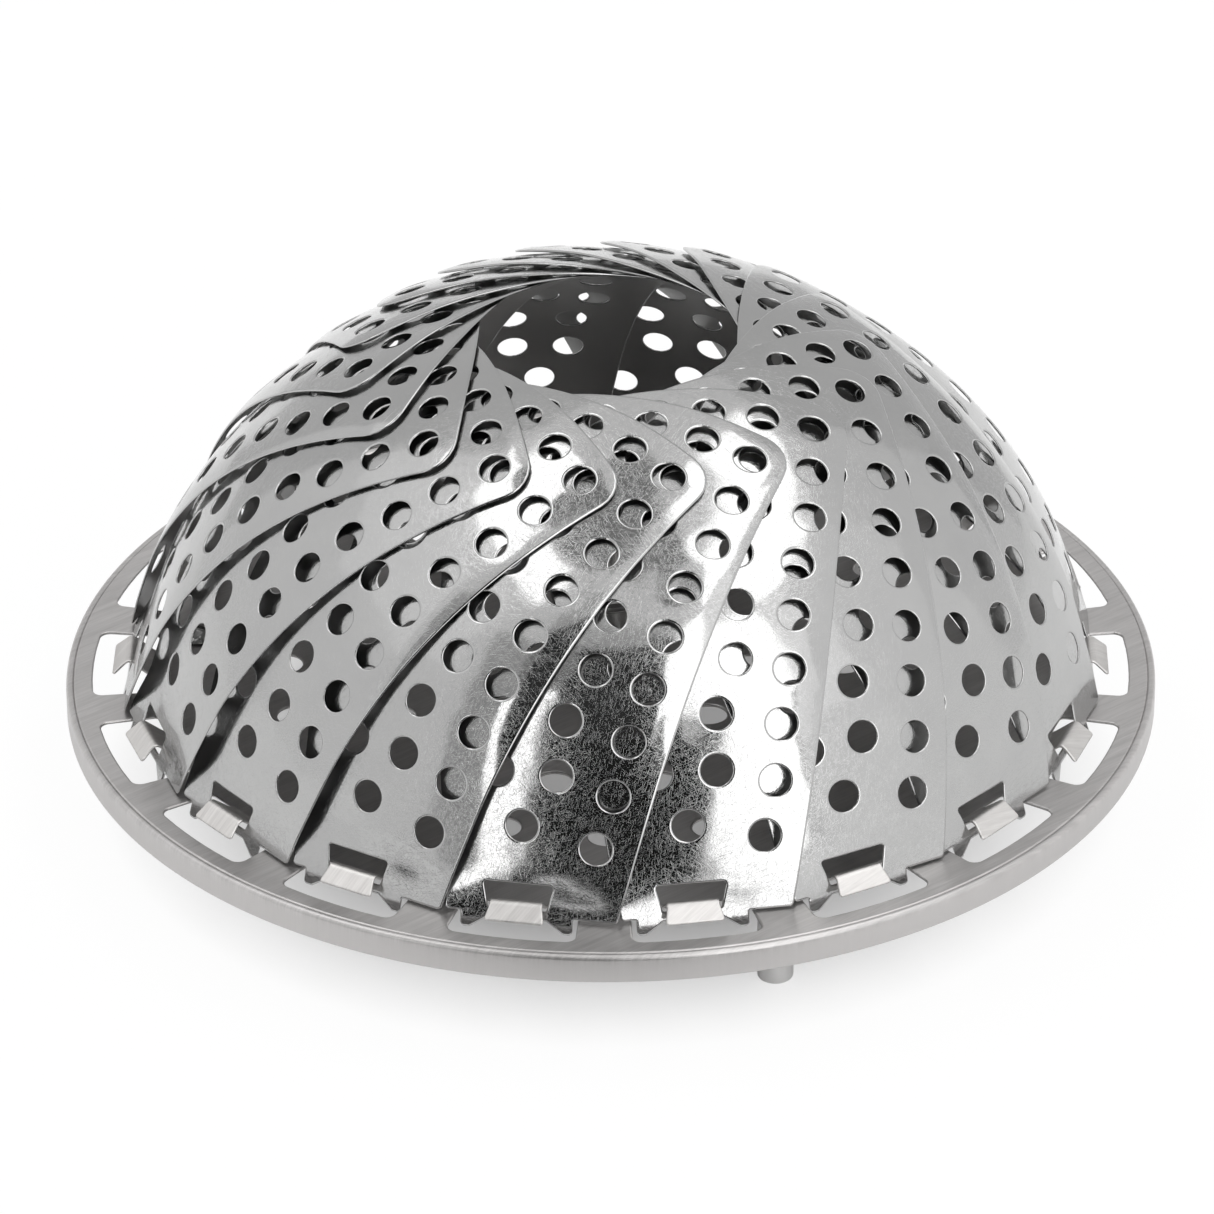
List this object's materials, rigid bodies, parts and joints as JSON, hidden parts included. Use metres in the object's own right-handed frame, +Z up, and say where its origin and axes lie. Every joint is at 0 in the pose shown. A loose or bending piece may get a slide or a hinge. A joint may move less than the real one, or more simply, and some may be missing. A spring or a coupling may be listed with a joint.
{
  "type": "folding steamer basket",
  "caption": "Round steel steamer basket: overlapping perforated petals hinged round a flat base on short legs, closed into a dome, with a lifting post and ring.",
  "frame": {"origin": "on the basket's axis, at the level that its legs stand on", "axes": "+Z up along the basket's axis; +X from the axis through the middle of petal_01, the other petals following counter-clockwise seen from above"},
  "size_m": [0.18, 0.18, 0.0824],
  "materials": {
    "plate": "satin brushed stainless sheet",
    "petal": "bright rolled stainless sheet with fine scratches",
    "leg": "turned stainless rod",
    "screw": "stainless screw",
    "post": "polished stainless rod",
    "ring": "polished stainless wire",
    "nut": "stainless nut"
  },
  "bodies": {
    "base": {"base_plate": "plate", "leg_1": "leg", "leg_2": "leg", "leg_3": "leg", "leg_screw_1": "screw", "leg_screw_2": "screw", "leg_screw_3": "screw", "post": "post", "nut": "nut"},
    "petal_01": {"petal_01": "petal"},
    "petal_02": {"petal_02": "petal"},
    "petal_03": {"petal_03": "petal"},
    "petal_04": {"petal_04": "petal"},
    "petal_05": {"petal_05": "petal"},
    "petal_06": {"petal_06": "petal"},
    "petal_07": {"petal_07": "petal"},
    "petal_08": {"petal_08": "petal"},
    "petal_09": {"petal_09": "petal"},
    "petal_10": {"petal_10": "petal"},
    "petal_11": {"petal_11": "petal"},
    "petal_12": {"petal_12": "petal"},
    "petal_13": {"petal_13": "petal"},
    "petal_14": {"petal_14": "petal"},
    "petal_15": {"petal_15": "petal"},
    "petal_16": {"petal_16": "petal"},
    "petal_17": {"petal_17": "petal"},
    "petal_18": {"petal_18": "petal"},
    "ring": {"ring": "ring"}
  },
  "joints": [
    {"name": "petal_01_hinge", "type": "hinge", "parent": "base", "child": "petal_01", "pos_m": [0.0794, 0, 0.0205], "axis": [0, 1, 0], "range_deg": [0, 85]},
    {"name": "petal_02_hinge", "type": "hinge", "parent": "base", "child": "petal_02", "pos_m": [0.07461, 0.02716, 0.0205], "axis": [-0.342, 0.9397, 0], "range_deg": [0, 85]},
    {"name": "petal_03_hinge", "type": "hinge", "parent": "base", "child": "petal_03", "pos_m": [0.06082, 0.05104, 0.0205], "axis": [-0.6428, 0.766, 0], "range_deg": [0, 85]},
    {"name": "petal_04_hinge", "type": "hinge", "parent": "base", "child": "petal_04", "pos_m": [0.0397, 0.06876, 0.0205], "axis": [-0.866, 0.5, 0], "range_deg": [0, 85]},
    {"name": "petal_05_hinge", "type": "hinge", "parent": "base", "child": "petal_05", "pos_m": [0.01379, 0.07819, 0.0205], "axis": [-0.9848, 0.1736, 0], "range_deg": [0, 85]},
    {"name": "petal_06_hinge", "type": "hinge", "parent": "base", "child": "petal_06", "pos_m": [-0.01379, 0.07819, 0.0205], "axis": [-0.9848, -0.1736, 0], "range_deg": [0, 85]},
    {"name": "petal_07_hinge", "type": "hinge", "parent": "base", "child": "petal_07", "pos_m": [-0.0397, 0.06876, 0.0205], "axis": [-0.866, -0.5, 0], "range_deg": [0, 85]},
    {"name": "petal_08_hinge", "type": "hinge", "parent": "base", "child": "petal_08", "pos_m": [-0.06082, 0.05104, 0.0205], "axis": [-0.6428, -0.766, 0], "range_deg": [0, 85]},
    {"name": "petal_09_hinge", "type": "hinge", "parent": "base", "child": "petal_09", "pos_m": [-0.07461, 0.02716, 0.0205], "axis": [-0.342, -0.9397, 0], "range_deg": [0, 85]},
    {"name": "petal_10_hinge", "type": "hinge", "parent": "base", "child": "petal_10", "pos_m": [-0.0794, 0, 0.0205], "axis": [0, -1, 0], "range_deg": [0, 85]},
    {"name": "petal_11_hinge", "type": "hinge", "parent": "base", "child": "petal_11", "pos_m": [-0.07461, -0.02716, 0.0205], "axis": [0.342, -0.9397, 0], "range_deg": [0, 85]},
    {"name": "petal_12_hinge", "type": "hinge", "parent": "base", "child": "petal_12", "pos_m": [-0.06082, -0.05104, 0.0205], "axis": [0.6428, -0.766, 0], "range_deg": [0, 85]},
    {"name": "petal_13_hinge", "type": "hinge", "parent": "base", "child": "petal_13", "pos_m": [-0.0397, -0.06876, 0.0205], "axis": [0.866, -0.5, 0], "range_deg": [0, 85]},
    {"name": "petal_14_hinge", "type": "hinge", "parent": "base", "child": "petal_14", "pos_m": [-0.01379, -0.07819, 0.0205], "axis": [0.9848, -0.1736, 0], "range_deg": [0, 85]},
    {"name": "petal_15_hinge", "type": "hinge", "parent": "base", "child": "petal_15", "pos_m": [0.01379, -0.07819, 0.0205], "axis": [0.9848, 0.1736, 0], "range_deg": [0, 85]},
    {"name": "petal_16_hinge", "type": "hinge", "parent": "base", "child": "petal_16", "pos_m": [0.0397, -0.06876, 0.0205], "axis": [0.866, 0.5, 0], "range_deg": [0, 85]},
    {"name": "petal_17_hinge", "type": "hinge", "parent": "base", "child": "petal_17", "pos_m": [0.06082, -0.05104, 0.0205], "axis": [0.6428, 0.766, 0], "range_deg": [0, 85]},
    {"name": "petal_18_hinge", "type": "hinge", "parent": "base", "child": "petal_18", "pos_m": [0.07461, -0.02716, 0.0205], "axis": [0.342, 0.9397, 0], "range_deg": [0, 85]},
    {"name": "ring_swing", "type": "hinge", "parent": "base", "child": "ring", "pos_m": [0, 0, 0.05], "axis": [-1, 0, 0], "range_deg": [0, 325]}
  ],
  "couplings": [
    {"joint": "petal_02_hinge", "follows": "petal_01_hinge", "ratio": 1},
    {"joint": "petal_03_hinge", "follows": "petal_01_hinge", "ratio": 1},
    {"joint": "petal_04_hinge", "follows": "petal_01_hinge", "ratio": 1},
    {"joint": "petal_05_hinge", "follows": "petal_01_hinge", "ratio": 1},
    {"joint": "petal_06_hinge", "follows": "petal_01_hinge", "ratio": 1},
    {"joint": "petal_07_hinge", "follows": "petal_01_hinge", "ratio": 1},
    {"joint": "petal_08_hinge", "follows": "petal_01_hinge", "ratio": 1},
    {"joint": "petal_09_hinge", "follows": "petal_01_hinge", "ratio": 1},
    {"joint": "petal_10_hinge", "follows": "petal_01_hinge", "ratio": 1},
    {"joint": "petal_11_hinge", "follows": "petal_01_hinge", "ratio": 1},
    {"joint": "petal_12_hinge", "follows": "petal_01_hinge", "ratio": 1},
    {"joint": "petal_13_hinge", "follows": "petal_01_hinge", "ratio": 1},
    {"joint": "petal_14_hinge", "follows": "petal_01_hinge", "ratio": 1},
    {"joint": "petal_15_hinge", "follows": "petal_01_hinge", "ratio": 1},
    {"joint": "petal_16_hinge", "follows": "petal_01_hinge", "ratio": 1},
    {"joint": "petal_17_hinge", "follows": "petal_01_hinge", "ratio": 1},
    {"joint": "petal_18_hinge", "follows": "petal_01_hinge", "ratio": 1}
  ]
}
